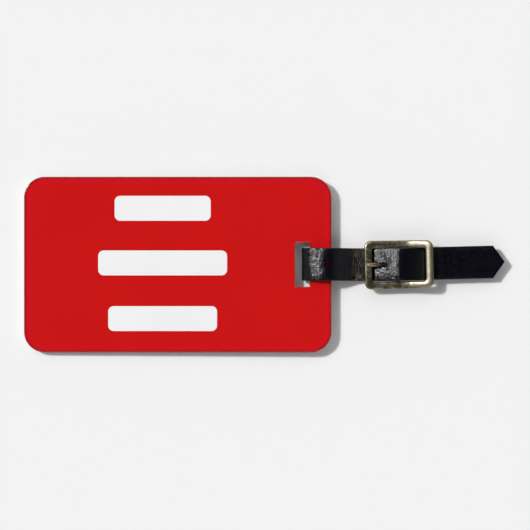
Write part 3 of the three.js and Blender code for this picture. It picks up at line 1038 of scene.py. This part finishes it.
def lug_shell(points, faces, side):
    """The lug under one rail that holds the end of the pin."""
    steps = 20
    top = frame_underside(PIN_X) + FRAME_THICKNESS / 2
    outline = [(PIN_X + LUG_RADIUS, top), (PIN_X - LUG_RADIUS, top)]
    for k in range(steps + 1):
        turn = math.pi * (1 + k / steps)
        outline.append((PIN_X + LUG_RADIUS * math.cos(turn), PIN_Z + LUG_RADIUS * math.sin(turn)))
    inside = OPENING_WIDTH / 2 + LUG_INSIDE_SETBACK
    outside = FRAME_RIGHT_WIDTH / 2 - LUG_OUTSIDE_SETBACK
    first, count = len(points), len(outline)
    points += [(x, side * inside, z) for x, z in outline] + [(x, side * outside, z) for x, z in outline]
    near, far = list(range(first, first + count)), list(range(first + count, first + 2 * count))
    faces += bridge([near, far]) + [near[::-1], far]


def weathered(piece, amount, scale):
    """Moves the skin in and out a little, as a casting's is uneven."""
    for vertex, normal in zip(piece.data.vertices, [n.vector.copy() for n in piece.data.vertex_normals]):
        push = noise.fractal(vertex.co * scale, 0.6, 2.0, 3)
        vertex.co += normal * (push * amount)


def make_buckle():
    brass = antique_brass("antique_brass", (0.325, 0.285, 0.206, 1), (0.085, 0.08, 0.043, 1), 0.33)
    points, faces = [], []
    frame_shell(points, faces)
    for side in (1, -1):
        lug_shell(points, faces, side)
    piece = make_object("buckle_frame", mesh_from("buckle_frame", points, faces), brass)
    remeshed(piece, size=0.1, smoothing=4)
    weathered(piece, amount=0.012, scale=0.5)
    middle = Matrix.Translation((PIN_X, 0, 0))
    piece.data.transform(middle @ Matrix.Rotation(FRAME_TURN, 4, "Z") @ middle.inverted())
    to_metres(piece, sharp_angle=60.0)
    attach(piece, "buckle")
    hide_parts("buckle_frame")
    refinish("buckle_pin", pin_steel())


# The middle of the prong's wire as x, z and radius, from its eye to its tip.
PRONG_ROUTE = [
    (37.9, 2.3, 0.56), (36.6, 2.12, 0.56), (35.5, 2.2, 0.56), (34.5, 2.95, 0.56), (33.5, 4.05, 0.57),
    (32.4, 4.84, 0.6), (31.1, 5.1, 0.6), (30.2, 5.12, 0.57), (29.45, 5.08, 0.5),
]
PRONG_WIDENING = 1.08  # the wire is a little wider than it is high
PRONG_TIP_END = 0.12  # the smallest radius of its round tip, as a share of the wire's
EYE_THICKNESS = 0.65
EYE_EXPONENT = 0.6  # of the eye's section: 1 is an ellipse, less is squarer


def prong_wire(points, faces):
    """The prong's wire along its route, with a round tip."""
    rings, sides = [], 20
    route = catmull_rom(PRONG_ROUTE, ROUTE_STEPS)
    for i, (x, z, radius) in enumerate(route):
        before, after = route[max(i - 1, 0)], route[min(i + 1, len(route) - 1)]
        along = Vector((after[0] - before[0], after[1] - before[1])).normalized()
        tip_share = min(1.0, (route[-1] - route[i]).length / radius)
        size = radius * max(PRONG_TIP_END, math.sqrt(max(0.0, 1 - (1 - tip_share) ** 2)))
        ring = []
        for k in range(sides):
            turn = 2 * math.pi * k / sides
            up = size * math.sin(turn)
            ring.append(len(points))
            points.append((x - along.y * up, PRONG_WIDENING * size * math.cos(turn), z + along.x * up))
        rings.append(ring)
    faces += bridge(rings) + [rings[0][::-1], rings[-1]]


def prong_eye(points, faces):
    """The ring of the prong's eye, round the pin."""
    rings, steps, sides = [], 48, 16
    middle = EYE_INNER + EYE_THICKNESS / 2
    for i in range(steps):
        turn = 2 * math.pi * i / steps
        ring = []
        for k in range(sides):
            angle = 2 * math.pi * k / sides
            reach = middle + EYE_THICKNESS / 2 * power(math.cos(angle), EYE_EXPONENT)
            across = EYE_WIDTH / 2 * power(math.sin(angle), EYE_EXPONENT)
            ring.append(len(points))
            points.append((PIN_X + reach * math.cos(turn), across, PIN_Z + reach * math.sin(turn)))
        rings.append(ring)
    faces += bridge(rings, closed=True)


def make_prong():
    brass = antique_brass("prong_brass", (0.40, 0.34, 0.20, 1), (0.15, 0.125, 0.065, 1), 0.3)
    points, faces = [], []
    prong_wire(points, faces)
    prong_eye(points, faces)
    piece = make_object("buckle_prong", mesh_from("buckle_prong", points, faces), brass)
    remeshed(piece, size=0.07, smoothing=2)
    to_metres(piece, sharp_angle=60.0)
    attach(piece, "prong")
    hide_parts("buckle_prong")


# ------------------------------------------------------------ studio

# The studio's sizes are in metres.
CAMERA_HEIGHT = 1.2
CAMERA_OVER = (0.0002, -0.0001)
VIEW_WIDTH = 0.1537
SENSOR = 36.0  # millimetres, as Blender has it
TABLE_REACH = 3.0
BOX_GLOW = 0.93
KEY_DIRECTION = (-0.88, 0.47)
KEY_ELEVATION = math.radians(53)
# The key light's bright core and the softer light round it, as energy and angle across in degrees.
KEY_LAMPS = {"key_core": (2.1, 5.0), "key_halo": (0.68, 22.0)}


def add_camera(scene):
    """A camera straight above, far enough up that the view hardly narrows with height."""
    eye = bpy.data.cameras.new("camera")
    eye.sensor_width = SENSOR
    eye.lens = SENSOR * CAMERA_HEIGHT / VIEW_WIDTH
    eye.clip_start, eye.clip_end = 0.01, 10
    camera = bpy.data.objects.new("camera", eye)
    camera.location = (*CAMERA_OVER, CAMERA_HEIGHT)
    scene.collection.objects.link(camera)
    scene.camera = camera


def add_key_lamps(scene):
    flat = Vector(KEY_DIRECTION).normalized() * math.cos(KEY_ELEVATION)
    towards = Vector((flat.x, flat.y, math.sin(KEY_ELEVATION)))
    for name, (energy, angle) in KEY_LAMPS.items():
        lamp = bpy.data.lights.new(name, "SUN")
        lamp.energy = energy
        lamp.angle = math.radians(angle)
        key = bpy.data.objects.new(name, lamp)
        key.rotation_mode = "QUATERNION"
        key.rotation_quaternion = towards.to_track_quat("Z", "Y")
        scene.collection.objects.link(key)


def surround():
    """The studio round the object: walls that are pale low down and fade to a dim ceiling, and a long
    soft box high up along each side."""
    world = bpy.data.worlds.new("surround")
    world.use_nodes = True
    n = Nodes(world.node_tree)
    direction = n.add("ShaderNodeTexCoord").outputs["Generated"]
    up = n.axis(direction, "Z")
    sideways = n.math("ABSOLUTE", n.axis(direction, "Y"))
    lengthways = n.math("ABSOLUTE", n.axis(direction, "X"))

    walls = n.math("ADD", n.spread(up, 0.4, 0.95, 0.3, 0.03), n.spread(up, 0.15, 0.45, 0.4, 0.0))
    inner_side, outer_side = n.spread(sideways, 0.26, 0.42), n.spread(sideways, 0.75, 0.85, 1.0, 0.0)
    box_width = n.math("MULTIPLY", inner_side, outer_side)
    boxes = n.math("MULTIPLY", box_width, n.spread(lengthways, 0.3, 0.5, BOX_GLOW, 0.0))
    boxes_overhead = n.math("MULTIPLY", boxes, n.spread(up, 0.2, 0.4))
    glow = n.math("ADD", walls, boxes_overhead)
    background = n.add("ShaderNodeBackground", {"Color": grey(1.0), "Strength": glow})
    n.add("ShaderNodeOutputWorld", {"Surface": background.outputs[0]})
    return world


def make_studio():
    scene = bpy.context.scene
    scene.view_settings.view_transform = "Standard"
    add_camera(scene)
    add_key_lamps(scene)
    scene.world = surround()

    corners = [(-TABLE_REACH, -TABLE_REACH, 0), (TABLE_REACH, -TABLE_REACH, 0),
               (TABLE_REACH, TABLE_REACH, 0), (-TABLE_REACH, TABLE_REACH, 0)]
    floor_mesh = bpy.data.meshes.new("table")
    floor_mesh.from_pydata(corners, [], [(0, 1, 2, 3)])
    make_object("table", floor_mesh, table_top())


make_studio()
make_tag()
make_strap()
make_stitches()
make_buckle()
make_prong()
